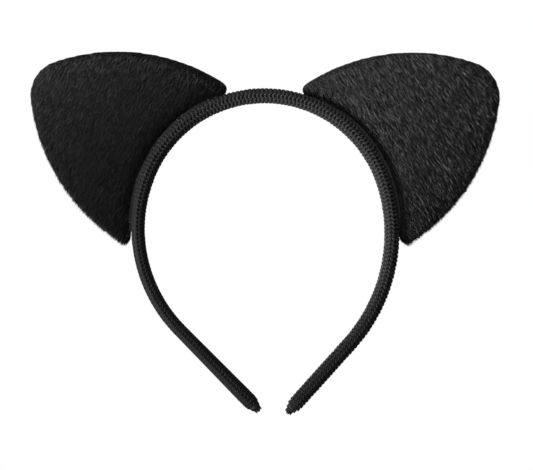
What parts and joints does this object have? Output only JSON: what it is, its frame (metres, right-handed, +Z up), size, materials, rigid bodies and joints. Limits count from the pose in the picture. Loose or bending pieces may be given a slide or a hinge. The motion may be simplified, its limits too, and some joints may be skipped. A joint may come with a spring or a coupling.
{
  "type": "animal ears headband",
  "caption": "Springy padded headband in a knitted sleeve, with a pair of flat, rounded furry ears standing out from its sides.",
  "frame": {"origin": "inner face of the hoop at the middle of the crown, where it rests on the head", "axes": "+X across the head from the ear on the left in the front view to the one on the right, +Y from the front of the band to its back, +Z up out of the crown"},
  "size_m": [0.2244, 0.009, 0.1738],
  "materials": {
    "knit_sleeve": "black stockinette knit tube, matt with a faint sheen on the yarn",
    "ear_pile": "black short-pile faux fur, combed towards the lower outer edge",
    "wadding": "black polyester wadding",
    "spring_strip": "natural moulded plastic strip, satin",
    "foam": "fine-celled grey foam",
    "felt_sheet": "white pressed-felt stiffener",
    "foot_tape": "black woven cotton tape",
    "thread": "black twisted polyester sewing thread",
    "glue": "black hot-melt glue"
  },
  "bodies": {
    "crown": {"band_strip_crown": "spring_strip", "band_wadding_crown": "wadding", "knit_sleeve_crown": "knit_sleeve"},
    "left_arm": {"band_strip_left": "spring_strip", "band_wadding_left": "wadding", "knit_sleeve_left": "knit_sleeve", "left_end_stitches": "thread", "left_ear_front_panel": "ear_pile", "left_ear_back_panel": "ear_pile", "left_ear_foam_pad": "foam", "left_ear_stiffener": "felt_sheet", "left_ear_seam_thread": "thread", "left_ear_foot_strip": "foot_tape", "left_ear_glue_bead": "glue", "left_ear_tack_stitches": "thread"},
    "right_arm": {"band_strip_right": "spring_strip", "band_wadding_right": "wadding", "knit_sleeve_right": "knit_sleeve", "right_end_stitches": "thread", "right_ear_front_panel": "ear_pile", "right_ear_back_panel": "ear_pile", "right_ear_foam_pad": "foam", "right_ear_stiffener": "felt_sheet", "right_ear_seam_thread": "thread", "right_ear_foot_strip": "foot_tape", "right_ear_glue_bead": "glue", "right_ear_tack_stitches": "thread"}
  },
  "joints": [
    {"name": "left_arm_flex", "type": "hinge", "parent": "crown", "child": "left_arm", "pos_m": [-0.009, 0, 0.00252], "axis": [0, 1, 0], "range_deg": [0, 22], "stiffness_Nm_per_rad": 0.55},
    {"name": "right_arm_flex", "type": "hinge", "parent": "crown", "child": "right_arm", "pos_m": [0.009, 0, 0.00252], "axis": [0, -1, 0], "range_deg": [0, 22], "stiffness_Nm_per_rad": 0.55}
  ]
}
